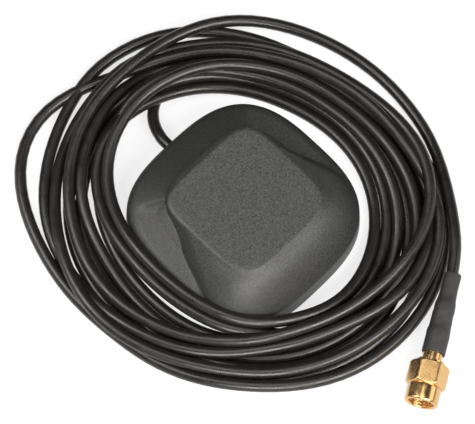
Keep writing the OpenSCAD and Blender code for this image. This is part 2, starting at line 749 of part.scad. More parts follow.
// Revolves a profile of [distance behind the mouth, radius] points round the plug's axis
module plug_turned(profile) {
    translate([plug_mouth[0], plug_mouth[1], nut_axis_z]) rotate([0, 0, plug_turn]) rotate([0, -90, 0])
        rotate_extrude($fn = 64) polygon([for (p = profile) [p[1], p[0]]]);
}

// A tube round the plug's axis between two distances
module plug_tube(from, to, bore, d) {
    plug_turned([[from, bore / 2], [from, d / 2], [to, d / 2], [to, bore / 2]]);
}

// Cable jacket inside the heat-shrink sleeve
module cable_jacket_front() {
    color(black_jacket) plug_tube(jacket_front_end, jacket_back_end, 0, cable_d);
}

// Shield opened over the stem and held by the ferrule
module cable_braid_front() {
    color([0.62, 0.60, 0.58]) plug_tube(collar_back + crimp_gap, ferrule_back, stem_d + 2 * crimp_gap,
        ferrule_d - 2 * ferrule_wall - 2 * crimp_gap);
}

// Inner insulation of the cable inside the stem
module cable_core_front() {
    color([0.92, 0.92, 0.90]) plug_tube(insulator_back + crimp_gap, jacket_front_end, 0, core_d);
}

// Heat-shrink sleeve from the cable over the ferrule
module heat_shrink() {
    cable_in = cable_d / 2 + sleeve_gap;
    cable_out = cable_in + sleeve_wall;
    wide_in = ferrule_d / 2 + sleeve_gap;
    wide_out = wide_in + sleeve_wide_wall;
    wide_end = ferrule_back + 0.3;
    taper_end = wide_end + sleeve_taper;
    color([0.13, 0.12, 0.12]) plug_turned([[sleeve_front, wide_in], [sleeve_front, wide_out],
        [wide_end - 1, wide_out], [wide_end + 0.4, wide_out - 0.15], [wide_end + sleeve_taper / 2, cable_out + 0.35],
        [taper_end, cable_out + 0.15], [taper_end + 0.6, cable_out], [sleeve_back - 0.3, cable_out],
        [sleeve_back, cable_out - 0.2], [sleeve_back, cable_in], [wide_end + 0.6, cable_in],
        [wide_end, wide_in]]);
}

// Gold crimp ferrule
module crimp_ferrule() {
    color(gold) plug_turned([[collar_back, ferrule_d / 2 - ferrule_wall], [collar_back, ferrule_d / 2 - 0.1],
        [collar_back + 0.1, ferrule_d / 2], [ferrule_back, ferrule_d / 2], [ferrule_back, ferrule_d / 2 - ferrule_wall]]);
}

// Turned body: outer contact, bearing with the ring's groove, rear collar and crimp stem
insulator_d = shell_bore - 2 * insulator_gap;
ring_groove_d = ring_bore - 2 * ring_gap;
module connector_body() {
    ring_front = ring_depth - ring_t / 2 - ring_gap;
    ring_back = ring_depth + ring_t / 2 + ring_gap;
    color(gold) plug_turned([[face_depth, shell_bore / 2], [face_depth, shell_d / 2 - 0.1],
        [face_depth + 0.1, shell_d / 2], [shoulder_depth, shell_d / 2], [shoulder_depth, bearing_d / 2],
        [ring_front, bearing_d / 2], [ring_front, ring_groove_d / 2], [ring_back, ring_groove_d / 2],
        [ring_back, bearing_d / 2], [collar_front, bearing_d / 2], [collar_front, body_collar_d / 2 - 0.1],
        [collar_front + 0.1, body_collar_d / 2], [collar_back, body_collar_d / 2], [collar_back, stem_d / 2],
        [stem_back, stem_d / 2], [stem_back, stem_bore / 2], [insulator_back, stem_bore / 2],
        [insulator_back, shell_bore / 2]]);
}

// White insulator between the outer contact and the pin
module connector_insulator() {
    color([0.93, 0.92, 0.88]) plug_tube(face_depth, insulator_back - crimp_gap, insulator_bore, insulator_d);
}

// Centre pin with its tapered tip
module centre_pin() {
    tip = face_depth - pin_out;
    color(gold) plug_turned([[tip, 0], [tip, pin_tip_d / 2], [tip + pin_tip_len, pin_d / 2],
        [face_depth, pin_d / 2], [face_depth, pin_root_d / 2],
        [insulator_back - crimp_gap, pin_root_d / 2], [insulator_back - crimp_gap, 0]]);
}

// Split ring that holds the nut on the body and lets it turn
module retaining_ring() {
    color([0.75, 0.70, 0.55])
    translate([plug_mouth[0], plug_mouth[1], nut_axis_z]) rotate([0, 0, plug_turn]) rotate([0, -90, 0])
        translate([0, 0, ring_depth - ring_t / 2]) rotate([0, 0, ring_opening / 2])
            rotate_extrude(angle = 360 - ring_opening, $fn = 64)
                translate([ring_bore / 2, 0]) square([(ring_d - ring_bore) / 2, ring_t]);
}

// Red rubber washer against the body's shoulder
module connector_washer() {
    color([0.65, 0.12, 0.08]) plug_tube(shoulder_depth - washer_t, shoulder_depth, shell_d + 2 * washer_gap,
        thread_d - 2 * washer_gap);
}

// Coupling nut: hexagon with chamfered corners, round front collar, threaded bore
module coupling_nut() {
    ac = nut_af / cos(30);
    groove_front = ring_depth - ring_t / 2 - ring_gap;
    groove_back = ring_depth + ring_t / 2 + ring_gap;
    groove_d = ring_d + 2 * ring_gap;
    bore_d = bearing_d + 2 * bearing_gap;
    color(gold) difference() {
        intersection() {
            translate([plug_mouth[0], plug_mouth[1], nut_axis_z]) rotate([0, 0, plug_turn])
                rotate([0, -90, 0]) rotate([0, 0, 30]) cylinder(h = nut_back, d = ac, $fn = 6);
            plug_turned([[0, 0], [0, collar_d / 2 - 0.25], [0.25, collar_d / 2], [collar_len, collar_d / 2],
                [collar_len, ac / 2 - hex_chamfer], [collar_len + hex_chamfer * 0.6, ac / 2 + eps],
                [nut_back - hex_chamfer * 0.6, ac / 2 + eps], [nut_back, ac / 2 - hex_chamfer], [nut_back, 0]]);
        }
        plug_turned([[-1, 0], [-1, thread_d / 2 + 0.3], [0, thread_d / 2 + 0.3], [0.3, thread_d / 2],
            [thread_len, thread_d / 2], [thread_len, bore_d / 2], [groove_front, bore_d / 2],
            [groove_front, groove_d / 2], [groove_back, groove_d / 2], [groove_back, bore_d / 2],
            [nut_back + 1, bore_d / 2], [nut_back + 1, 0]]);
    }
}

top_cover();
base_plate();
sealing_gasket();
base_screws();
magnet();
circuit_board();
patch_ceramic();
patch_electrode();
adhesive_pad();
feed_pin();
shield_can();
amplifier_chip();
saw_filter();
cable_bush();
cable_jacket_rear();
cable_braid_rear();
cable_core_rear();
cable_wire_rear();
cable_lead();
cable_coil();
cable_tail();
cable_jacket_front();
cable_braid_front();
cable_core_front();
heat_shrink();
crimp_ferrule();
connector_body();
connector_insulator();
centre_pin();
retaining_ring();
connector_washer();
coupling_nut();
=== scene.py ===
import json
import math
import bpy
import numpy as np
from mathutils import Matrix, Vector


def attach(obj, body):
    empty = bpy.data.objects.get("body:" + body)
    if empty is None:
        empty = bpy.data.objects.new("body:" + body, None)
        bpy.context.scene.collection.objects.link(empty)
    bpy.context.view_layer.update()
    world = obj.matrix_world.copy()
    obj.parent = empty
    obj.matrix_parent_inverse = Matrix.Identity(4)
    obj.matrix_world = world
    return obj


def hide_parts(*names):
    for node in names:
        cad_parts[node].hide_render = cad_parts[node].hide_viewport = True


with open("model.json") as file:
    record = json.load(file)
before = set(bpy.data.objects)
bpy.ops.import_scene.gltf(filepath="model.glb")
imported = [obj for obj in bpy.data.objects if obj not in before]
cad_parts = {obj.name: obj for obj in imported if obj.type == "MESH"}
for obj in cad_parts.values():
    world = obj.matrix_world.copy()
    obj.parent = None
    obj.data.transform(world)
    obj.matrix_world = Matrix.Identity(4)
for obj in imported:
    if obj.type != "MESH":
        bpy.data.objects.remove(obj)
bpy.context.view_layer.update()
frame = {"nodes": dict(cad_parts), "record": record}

MM = 0.001

# Places and sizes repeated from the part's source, in millimetres
HALF_SIDE = 24.0
HEIGHT = 15.5
CABLE_D = 2.8
# How square the puck's outline is: the power of its superellipse
OUTLINE_POWER = 2.95
PLUG_MOUTH = np.array([59.58855, -3.87486, 4.0])
PLUG_AXIS = np.array([0.5, -math.sqrt(3) / 2, 0.0])


# Camera
# The photo looks down at the puck's front corner from a long way off.
IMAGE_WIDTH_PX = 475
CAMERA_ELEVATION = 69.2
CAMERA_DISTANCE = 582.0
FOCAL_PX = 2528.0
# Look-at point in the picture's own axes: right, and away from the viewer
LOOK_RIGHT = -1.26
LOOK_AWAY = 2.2
SENSOR_MM = 36.0

DIAGONAL = math.sqrt(0.5)
RIGHT = Vector((DIAGONAL, DIAGONAL, 0.0))
AWAY = Vector((-DIAGONAL, DIAGONAL, 0.0))


def make_camera():
    elevation = math.radians(CAMERA_ELEVATION)
    target = (RIGHT * LOOK_RIGHT + AWAY * LOOK_AWAY) * MM
    forward = AWAY * math.cos(elevation) - Vector((0, 0, math.sin(elevation)))
    camera_data = bpy.data.cameras.new("camera")
    camera_data.sensor_fit = "HORIZONTAL"
    camera_data.sensor_width = SENSOR_MM
    camera_data.lens = FOCAL_PX * SENSOR_MM / IMAGE_WIDTH_PX
    camera_data.clip_start = 0.01
    camera = bpy.data.objects.new("camera", camera_data)
    bpy.context.scene.collection.objects.link(camera)
    camera.location = target - forward * CAMERA_DISTANCE * MM
    camera.rotation_euler = forward.to_track_quat("-Z", "Y").to_euler()
    bpy.context.scene.camera = camera


make_camera()


# The cord: one line from the puck through the coil to the sleeve
# Distances of the strands from COIL_CENTRE in the picture's axes, in millimetres, sixteen for
# each turn, clockwise from the top: 90, 67, 45, 22, 0, -22 degrees and so on
COIL_CENTRE = (-1.0, 1.5)
COIL_STEPS = 96
COIL_TURNS = [
    [37.0, 37.5, 38.5, 40.0, 43.0, 45.4, 44.6, 42.6, 40.0, 38.2, 37.4, 38.2, 39.0, 39.0, 39.0, 38.5],
    [37.5, 35.8, 35.8, 37.5, 39.0, 40.2, 40.5, 39.6, 38.0, 36.5, 35.3, 35.0, 36.5, 37.5, 37.0, 35.5],
    [33.5, 31.5, 31.8, 33.5, 34.5, 34.5, 34.0, 32.3, 31.2, 30.0, 29.0, 29.6, 31.8, 34.5, 36.0, 35.5],
    [34.5, 33.5, 33.0, 34.5, 36.0, 37.0, 36.0, 33.5, 30.2, 27.4, 26.6, 27.8, 31.5, 35.5, 36.0, 34.0],
    [31.5, 29.8, 30.4, 31.0, 32.0, 32.8, 32.4, 30.0, 28.0, 25.6, 24.6, 25.9, 28.8, 32.7, 34.8, 35.2],
    [34.8, 34.6, 35.5, 38.5, 41.5, 41.5, 39.4, 38.0, 35.4, 32.7, 31.5, 32.4, 36.3, 39.5, 40.8, 39.8],
    [39.0, 37.8, 37.8, 41.2, 44.5, 43.8, 37.5, 33.6, 34.2, 36.5, 39.0, 41.6, 44.8, 46.6, 49.2, 49.0],
    [44.8, 40.6, 41.0, 44.0, 47.5, 48.6, 46.4, 43.8, 40.4, 38.8, 39.8, 42.4, 48.9, 54.4, 46.4, 40.2],
    [38.0, 37.6, 38.8, 42.2, 45.5, 45.6, 43.6, 41.2, 39.4, 38.8, 39.8, 41.4, 42.5, 43.6, 43.8, 43.4],
    [42.4, 40.0, 40.6, 43.0, 44.6, 39.4, 34.6, 32.0, 31.7, 33.0, 34.8, 37.2, 38.5, 40.2, 42.4, 45.1],
    [48.8, 48.0, 47.8, 48.0, 49.4],
]
# Where two turns lean on the puck's rim: sixteen heights for each
LEANING = {
    3: [0, 0, 0, 0, 0, 0, 1.5, 3.8, 5.6, 6.4, 6.6, 6.3, 4.6, 1.5, 0, 0],
    4: [0, 0, 0, 0, 0, 1.0, 4.0, 6.2, 7.8, 8.4, 8.4, 8.2, 6.0, 2.5, 0, 0],
}
# From the puck's wall to the coil's first strand: right, away, height
LEAD_POINTS = [
    (-16.856, 16.856, 3.9), (-17.6, 17.6, 3.9), (-18.8, 19.0, 3.7), (-20.1, 21.2, 3.2),
    (-20.9, 24.0, 2.5), (-21.0, 27.0, 1.9), (-20.2, 30.0, 1.5), (-18.3, 33.0, 1.4),
    (-15.3, 35.4, 1.4), (-11.6, 37.0, 1.4), (-7.0, 38.1, 1.4),
]
# From the last strand to the sleeve
TAIL_POINTS = [(48.55, -1.6, 5.0), (48.6, -5.0, 4.5), (48.3, -9.0, 4.1), (47.62, -13.2, 4.0),
               (47.2, -15.1, 4.0)]
SETTLE_ROUNDS = 1500
# Strands keep this distance between their middles, a little more than their thickness
STRAND_PITCH = CABLE_D * 1.02
# A strand keeps this much off the puck
PUCK_CLEARANCE = 0.1


def smooth_values(values, count):
    """A smooth line through evenly spaced values, with count points for each step."""
    v = np.asarray(values, float)
    padded = np.concatenate([[2 * v[0] - v[1]], v, [2 * v[-1] - v[-2]]])
    t = np.arange(count) / count
    made = []
    for i in range(1, len(padded) - 2):
        a, b, c, d = padded[i - 1:i + 3]
        made.append(0.5 * (2 * b + (c - a) * t + (2 * a - 5 * b + 4 * c - d) * t * t
                           + (3 * b - a - 3 * c + d) * t ** 3))
    return np.append(np.concatenate(made), v[-1])


def evened(values, passes):
    """Values with their small kinks smoothed out, ends kept."""
    v = values.copy()
    for _ in range(passes):
        v[1:-1] = 0.25 * (v[:-2] + 2 * v[1:-1] + v[2:])
    return v


def puck_edge(angle, z):
    """Distance from the coil's centre to the puck's wall or rim at height z."""
    inset = np.where(z > 5.8, 4.0 * (1 - np.sqrt(np.clip(1 - ((z - 5.8) / 2.6) ** 2, 0, 1))), 0.0)
    half = HALF_SIDE - inset
    best = np.full(angle.shape, 27.0)
    for _ in range(3):
        x = COIL_CENTRE[0] + best * np.cos(angle)
        y = COIL_CENTRE[1] + best * np.sin(angle)
        turned = np.arctan2(y, x) + math.pi / 4
        r = half * (np.abs(np.cos(turned)) ** OUTLINE_POWER
                    + np.abs(np.sin(turned)) ** OUTLINE_POWER) ** (-1 / OUTLINE_POWER)
        best = best + (r - np.hypot(x, y))
    return best


def lead_floor(x, y, lead):
    """How high a strand must lie to pass over the lead."""
    d2 = (x[:, None] - lead[None, :, 0]) ** 2 + (y[:, None] - lead[None, :, 1]) ** 2
    over = lead[None, :, 2] + np.sqrt(np.clip(CABLE_D ** 2 - d2, 0, None))
    return np.where(d2 < CABLE_D ** 2, over, 0.0).max(1)


def settled_coil(lead):
    """The coil's strands, each laid over the earlier ones: points of right, away and height."""
    per = COIL_STEPS // 16
    target = evened(smooth_values([r for turn in COIL_TURNS for r in turn], per), 10)
    n = len(target)
    rows = math.ceil(n / COIL_STEPS)
    angle = np.radians(90.0 - np.arange(n) * 360.0 / COIL_STEPS)
    lowest = np.full(n, CABLE_D / 2)
    for turn, heights in LEANING.items():
        lean = smooth_values(heights, per)
        part = slice(turn * COIL_STEPS, turn * COIL_STEPS + len(lean))
        lowest[part] = np.maximum(lowest[part], lean)
    r = target.copy()
    z = CABLE_D / 2 + STRAND_PITCH * np.arange(n) / COIL_STEPS
    pad = rows * COIL_STEPS - n
    clear = np.arange(n) > COIL_STEPS // 4
    for _ in range(SETTLE_ROUNDS):
        z = z - 0.05
        r = r + 0.10 * (target - r)
        # The cable is stiff, so its shift and its height change slowly along it
        for values, base in ((r, target), (z, 0)):
            shift = values - base
            soft = shift.copy()
            soft[1:-1] = 0.25 * (shift[:-2] + 2 * shift[1:-1] + shift[2:])
            soft[2:-2] = (soft[2:-2] * 2 + 0.5 * (shift[:-4] + shift[4:])) / 3
            values[:] = base + soft
        for _ in range(3):
            grid_r = np.concatenate([r, np.full(pad, 1e3)]).reshape(rows, COIL_STEPS)
            grid_z = np.concatenate([z, np.arange(pad) * 10.0]).reshape(rows, COIL_STEPS)
            dr = grid_r[:, None] - grid_r[None]
            dz = grid_z[:, None] - grid_z[None]
            d = np.sqrt(dr * dr + dz * dz) + 1e-9
            push = np.where(d < STRAND_PITCH, (STRAND_PITCH - d) / d * 0.25, 0.0)
            for i in range(rows):
                push[i, i] = 0
            r = (grid_r + (push * dr).sum(1)).ravel()[:n]
            z = (grid_z + (push * dz).sum(1)).ravel()[:n]
            x = COIL_CENTRE[0] + r * np.cos(angle)
            y = COIL_CENTRE[1] + r * np.sin(angle)
            z = np.maximum(z, np.where(clear, np.maximum(lowest, lead_floor(x, y, lead)), lowest))
            r = np.maximum(r, puck_edge(angle, z) + CABLE_D / 2 + PUCK_CLEARANCE)
        r[0], z[0] = target[0], CABLE_D / 2
    return np.stack([COIL_CENTRE[0] + r * np.cos(angle), COIL_CENTRE[1] + r * np.sin(angle), z], 1)


def through(points, spacing):
    """Evenly spaced points on a smooth line through given ones."""
    p = np.asarray(points, float)
    fine = np.stack([smooth_values(p[:, i], 20) for i in range(3)], 1)
    along = np.concatenate([[0], np.cumsum(np.linalg.norm(np.diff(fine, axis=0), axis=1))])
    count = max(2, int(round(along[-1] / spacing)) + 1)
    at = np.linspace(0, along[-1], count)
    return np.stack([np.interp(at, along, fine[:, i]) for i in range(3)], 1)


def to_row(points):
    """Points of the picture's right, away and height as points of the part, in millimetres."""
    p = np.asarray(points, float)
    return np.stack([DIAGONAL * (p[:, 0] - p[:, 1]), DIAGONAL * (p[:, 0] + p[:, 1]), p[:, 2]], 1)


def make_cable():
    lead = through(LEAD_POINTS, 1.0)
    coil = settled_coil(lead)
    joined = np.concatenate([lead[:-4], coil[3:-3], through(TAIL_POINTS, 1.7)[1:]])
    line = np.stack([evened(joined[:, i], 6) for i in range(3)], 1)
    line[:4] = lead[:4]
    line[:, 2] = np.maximum(line[:, 2], CABLE_D / 2)
    row = to_row(line)
    curve = bpy.data.curves.new("cable", "CURVE")
    curve.dimensions = "3D"
    curve.twist_mode = "MINIMUM"
    spline = curve.splines.new("POLY")
    spline.points.add(len(row) - 1)
    spline.points.foreach_set("co", np.column_stack([row * MM, np.ones(len(row))]).ravel())
    # The thickness is in the points' radius, because Blender counts that in the curve's box
    spline.points.foreach_set("radius", np.full(len(row), CABLE_D / 2 * MM))
    spline.use_smooth = True
    curve.bevel_depth = 1.0
    curve.bevel_resolution = 4
    curve.use_fill_caps = True
    cable = bpy.data.objects.new("cable", curve)
    bpy.context.scene.collection.objects.link(cable)
    length = np.linalg.norm(np.diff(row, axis=0), axis=1).sum() * MM
    return cable, length


cable, cable_length = make_cable()
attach(cable, "root")
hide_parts("cable_lead", "cable_coil", "cable_tail")


# Meshes made from rings of points
def add_mesh(name, points, faces, body):
    mesh = bpy.data.meshes.new(name)
    mesh.from_pydata([tuple(p) for p in np.asarray(points) * MM], [], faces)
    mesh.validate()
    mesh.update()
    mesh.polygons.foreach_set("use_smooth", [True] * len(mesh.polygons))
    piece = bpy.data.objects.new(name, mesh)
    bpy.context.scene.collection.objects.link(piece)
    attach(piece, body)
    return piece


def ring_faces(rings, steps, closed_line=False):
    """Faces between rings of steps points each; closed_line also joins the last ring to the first."""
    faces = []
    for k in range(rings if closed_line else rings - 1):
        here, there = k * steps, ((k + 1) % rings) * steps
        for i in range(steps):
            j = (i + 1) % steps
            faces.append((here + i, there + i, there + j, here + j))
    return faces


# The cover, worked out as in the part's source but with rounded edges. In each function a is the
# direction from the puck's middle, 0 being the front.

# Half lengths of the flat top towards the front, the back and the sides
FRONT, BACK, SIDE = HALF_SIDE - 8.6, HALF_SIDE - 10.9, HALF_SIDE - 9.7
# The same of the raised block at the back and the sides, whose sides flare towards the front
BLOCK_BACK, BLOCK_SIDE = 14.2, 15.6
BLOCK_FLARE = 24.0
ROUND = 0.9
WALL_TOP = 5.8
LEDGE = 2.4
COVER_WALL = 1.7
# How far the small step's two edges lie inside and outside the block's line
STEP_IN, STEP_OUT = 1.1, 1.1
# The rounding of the cover's edges reaches this far, less at the step's foot
EDGE_REACH = 0.9
FOOT_REACH = 0.4
COVER_STEPS = 288


def rounded_edge(a, front, back, side, power):
    c, s = np.cos(a), np.abs(np.sin(a))
    return ((np.maximum(c, 0) / front) ** power + (np.maximum(-c, 0) / back) ** power
            + (s / side) ** power) ** (-1 / power)


def outline_r(a, inset):
    half = HALF_SIDE - inset
    return rounded_edge(a, half, half, half, OUTLINE_POWER)


def plateau_r(a, grow):
    power = 4.2 + 0.6 * (1 - np.cos(a))
    return rounded_edge(a, FRONT + grow, BACK + grow, SIDE + grow, power)


def block_r(a, side_grow, back_grow):
    """Radius of the raised block, open at the front."""
    flare = math.radians(BLOCK_FLARE)
    side = np.maximum(0, np.abs(np.sin(a)) * math.cos(flare) - np.cos(a) * math.sin(flare))
    back = np.maximum(0, -np.cos(a))
    return ((back / (BLOCK_BACK + back_grow)) ** 8 + (side / (BLOCK_SIDE + side_grow)) ** 8
            + 1e-30) ** (-1 / 8)


def soft_min(p, q):
    """The smaller of two radii, blended where they meet."""
    return (p ** -14.0 + q ** -14.0) ** (-1 / 14)


def rim_inset(u):
    """How far inside the puck's sides the rim lies at the angle u of its quarter ellipse."""
    return 0.25 + 4.0 * (1 - np.sin(u))


def rim_z(a, u):
    return WALL_TOP + (2.9 - 0.7 * np.cos(a)) * np.cos(u)


# Where the rim's quarter ellipse starts, in degrees from its top, and how far the front slope bulges
RIM_START = 25.0
FRONT_RIM_START = 70.0
FRONT_BULGE = 1.45


def turned(from_front, low, high):
    """Rises smoothly from 0 to 1 between two angles from the front."""
    t = np.clip((from_front - low) / (high - low), 0, 1)
    return t * t * (3 - 2 * t)


class CoverLines:
    """The corner lines of the cover's outer profile in each direction a.

    front is 1 towards the front, where the slope runs straight into the rim, and 0 where the block's
    small step and the flange lie between them.
    """

    def __init__(self, a):
        from_front = np.degrees(np.abs(np.arctan2(np.sin(a), np.cos(a))))
        self.front = 1 - turned(from_front, 52, 84)
        self.rim_start = np.radians(RIM_START + (FRONT_RIM_START - RIM_START) * self.front)
        self.flange_r = outline_r(a, rim_inset(self.rim_start))
        self.flange_z = rim_z(a, self.rim_start)
        self.inner = plateau_r(a, 0)
        edge = outline_r(a, rim_inset(self.rim_start) + 0.5)
        self.step_top = np.maximum(plateau_r(a, 0.12), soft_min(edge, block_r(a, -STEP_IN, -0.2)))
        edge = outline_r(a, rim_inset(self.rim_start) + 0.2)
        self.step_foot = np.maximum(plateau_r(a, 0.35), soft_min(edge, block_r(a, STEP_OUT, 1.1)))
        flange_slope = np.radians(9 + 19 * turned(from_front, 131, 137))
        on_slope = self.slope_z(self.step_foot) - 0.02
        rise = (self.flange_r - self.step_foot) * np.tan(flange_slope)
        on_flange = np.minimum(on_slope, self.flange_z + rise)
        self.foot_z = on_flange + (on_slope - on_flange) * self.front

    def slope_z(self, r):
        top = HEIGHT - ROUND / 3
        t = (r - self.inner) / (self.flange_r - self.inner)
        return top - (top - self.flange_z) * t + 4 * FRONT_BULGE * self.front * t * (1 - t)


def rounded_corner(before, corner, after, reach, count):
    """Points on a curve that rounds a corner, reaching at most reach along each side."""
    p, c, q = (np.stack(v, -1) for v in (before, corner, after))
    back, ahead = p - c, q - c
    lb = np.linalg.norm(back, axis=-1, keepdims=True) + 1e-9
    la = np.linalg.norm(ahead, axis=-1, keepdims=True) + 1e-9
    start = c + back / lb * np.minimum(reach, 0.45 * lb)
    end = c + ahead / la * np.minimum(reach, 0.45 * la)
    made = []
    for t in np.linspace(0, 1, count):
        point = start * (1 - t) ** 2 + c * 2 * t * (1 - t) + end * t * t
        made.append((point[..., 0], point[..., 1]))
    return made


def make_cover():
    a = np.arange(COVER_STEPS) * 2 * math.pi / COVER_STEPS
    lines = CoverLines(a)
    top = np.full_like(a, HEIGHT)
    stations = [(plateau_r(a, -ROUND) * share, top) for share in (0.02, 0.3, 0.6, 0.85, 0.95)]
    # The flat top's edge
    before = (plateau_r(a, -1.6), top)
    corner = (plateau_r(a, -0.4), top)
    near = plateau_r(a, 0.25)
    stations += rounded_corner(before, corner, (near, lines.slope_z(near)), EDGE_REACH, 8)
    # The slope down to the small step, and the step
    from_r = plateau_r(a, 0.0)
    top_r = np.maximum(lines.step_top - 0.9, from_r + 0.02)
    lines.step_top = np.maximum(lines.step_top, top_r + 0.08)
    lines.step_foot = np.maximum(lines.step_foot, lines.step_top + 0.25)
    for share in np.linspace(0, 1, 9):
        r = from_r + (top_r - from_r) * share
        stations.append((r, lines.slope_z(r)))
    step_top = (lines.step_top, lines.slope_z(lines.step_top))
    step_foot = (lines.step_foot, lines.foot_z)
    flange = (lines.flange_r, lines.flange_z)
    stations += rounded_corner((top_r, lines.slope_z(top_r)), step_top, step_foot, EDGE_REACH, 6)
    stations += rounded_corner(step_top, step_foot, flange, FOOT_REACH, 5)
    for share in (0.3, 0.6, 0.85):
        last = stations[-1]
        stations.append(tuple(l + (f - l) * share for l, f in zip(last, flange)))
    for share in np.linspace(0, 1, 10):
        u = lines.rim_start + (math.pi / 2 - lines.rim_start) * share
        stations.append((outline_r(a, rim_inset(u)), rim_z(a, u)))
    # The wall, the skirt's lower edge and the hollow inside
    for inset, z in [(0.10, 3.0), (0.0, 0.75), (0.07, 0.5), (0.25, 0.4), (1.5, 0.4), (1.5, LEDGE),
                     (3.0, LEDGE), (3.0, WALL_TOP + 0.5)]:
        stations.append((outline_r(a, inset), np.full_like(a, z)))
    inner_start = np.full_like(a, math.radians(RIM_START))
    stations.append((outline_r(a, rim_inset(inner_start) + COVER_WALL), rim_z(a, inner_start) - COVER_WALL))
    stations.append((plateau_r(a, -COVER_WALL), top - COVER_WALL))
    stations.append((plateau_r(a, -COVER_WALL) * 0.02, top - COVER_WALL))
    points = np.concatenate([np.stack([r * np.cos(a), r * np.sin(a), z], 1) for r, z in stations])
    faces = ring_faces(len(stations), COVER_STEPS)
    faces.append(tuple(range(COVER_STEPS)))
    last = (len(stations) - 1) * COVER_STEPS
    faces.append(tuple(last + i for i in reversed(range(COVER_STEPS))))
    faces = [tuple(reversed(f)) for f in faces]
    cover = add_mesh("cover", points, faces, "root")
    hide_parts("top_cover")
    return cover


cover = make_cover()


# The plug, in distances behind the nut's mouth
ACROSS = np.cross(PLUG_AXIS, (0, 0, 1))
UP = np.array([0.0, 0.0, 1.0])


def plug_points(behind, radius, angle):
    """Points round the plug's axis from distances, radii and angles, angle 0 being up."""
    behind, radius, angle = (np.asarray(v, float)[..., None] for v in (behind, radius, angle))
    return (PLUG_MOUTH - PLUG_AXIS * behind + UP * radius * np.cos(angle)
            + ACROSS * radius * np.sin(angle)).reshape(-1, 3)


NUT_STEPS = 240
NUT_LEN = 9.4
NUT_AF = 8.0
COLLAR_D = 7.6
COLLAR_LEN = 4.0
THREAD_MINOR = 5.7
THREAD_MAJOR = 6.3
THREAD_PITCH = 0.7056
THREAD_LEN = 5.0
BEARING_BORE = 5.32


def make_nut():
    angle = np.arange(NUT_STEPS) * 2 * math.pi / NUT_STEPS
    # A flat lies underneath, so one is on top too
    sector = math.pi / 3
    within = (angle + sector / 2) % sector - sector / 2
    hexagon = NUT_AF / 2 / np.cos(within)
    corner = NUT_AF / 2 / math.cos(sector / 2)
    hexagon = (hexagon ** -60.0 + (corner - 0.06) ** -60.0) ** (-1 / 60)

    def outer(s, limit):
        round_r = np.full_like(angle, limit)
        return np.full_like(angle, s), np.minimum(hexagon, limit) if s > COLLAR_LEN else round_r

    rings = []
    collar = COLLAR_D / 2
    for s, r in [(0.0, collar - 0.42), (0.03, collar - 0.27), (0.12, collar - 0.12), (0.28, collar - 0.02),
                 (0.45, collar), (1.5, collar), (2.8, collar), (COLLAR_LEN - 0.25, collar),
                 (COLLAR_LEN - 0.08, collar - 0.03), (COLLAR_LEN, collar - 0.12)]:
        rings.append(outer(s, r))
    for s, limit in [(4.02, collar + 0.05), (4.08, corner - 0.62), (4.18, corner - 0.44),
                     (4.32, corner - 0.2), (4.5, corner - 0.05), (4.7, corner), (6.7, corner), (8.8, corner),
                     (9.0, corner - 0.06), (9.15, corner - 0.2), (9.28, corner - 0.42),
                     (9.37, corner - 0.66), (NUT_LEN, corner - 0.85), (NUT_LEN, 3.2),
                     (NUT_LEN, BEARING_BORE / 2 + 0.1), (9.3, BEARING_BORE / 2)]:
        rings.append(outer(s, limit))
    rings.append((np.full_like(angle, THREAD_LEN + 0.02), np.full_like(angle, BEARING_BORE / 2)))
    rings.append((np.full_like(angle, THREAD_LEN), np.full_like(angle, THREAD_MINOR / 2)))
    # The thread, from its back to the mouth
    steps = 96
    for k in range(steps + 1):
        s = THREAD_LEN - 0.05 - (THREAD_LEN - 0.45) * k / steps
        phase = (s / THREAD_PITCH + angle / (2 * math.pi)) % 1.0
        depth = np.clip(1.25 - np.abs(phase - 0.5) * 3.2, 0, 1)
        fade = min(1.0, (s - 0.35) / 0.4, (THREAD_LEN - s) / 0.4)
        groove = (THREAD_MAJOR - THREAD_MINOR) / 2 * depth * max(0.0, fade)
        rings.append((np.full_like(angle, s), THREAD_MINOR / 2 + groove))
    for s, r in [(0.3, 2.86), (0.12, 3.04), (0.03, 3.16), (0.0, 3.22)]:
        rings.append((np.full_like(angle, s), np.full_like(angle, r)))
    points = np.concatenate([plug_points(s, r, angle) for s, r in rings])
    nut = add_mesh("nut", points, ring_faces(len(rings), NUT_STEPS, True), "coupling_nut")
    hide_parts("coupling_nut")
    return nut


nut = make_nut()

# Sleeve profile: distance behind the mouth, and radius, with the bulges of shrunk tube
SLEEVE_PROFILE = [
    (12.0, 2.35), (12.02, 2.58), (12.2, 2.66), (12.8, 2.69), (14.0, 2.68), (15.5, 2.70), (16.8, 2.70),
    (17.6, 2.64), (18.3, 2.50), (19.2, 2.44), (20.5, 2.42), (21.8, 2.44), (23.0, 2.43), (24.0, 2.36),
    (25.0, 2.16), (25.8, 2.05), (26.8, 2.0), (28.0, 1.98), (29.5, 1.97), (30.8, 1.97), (31.35, 1.95),
    (31.56, 1.86), (31.6, 1.72), (31.5, 1.46)]
SLEEVE_STEPS = 72


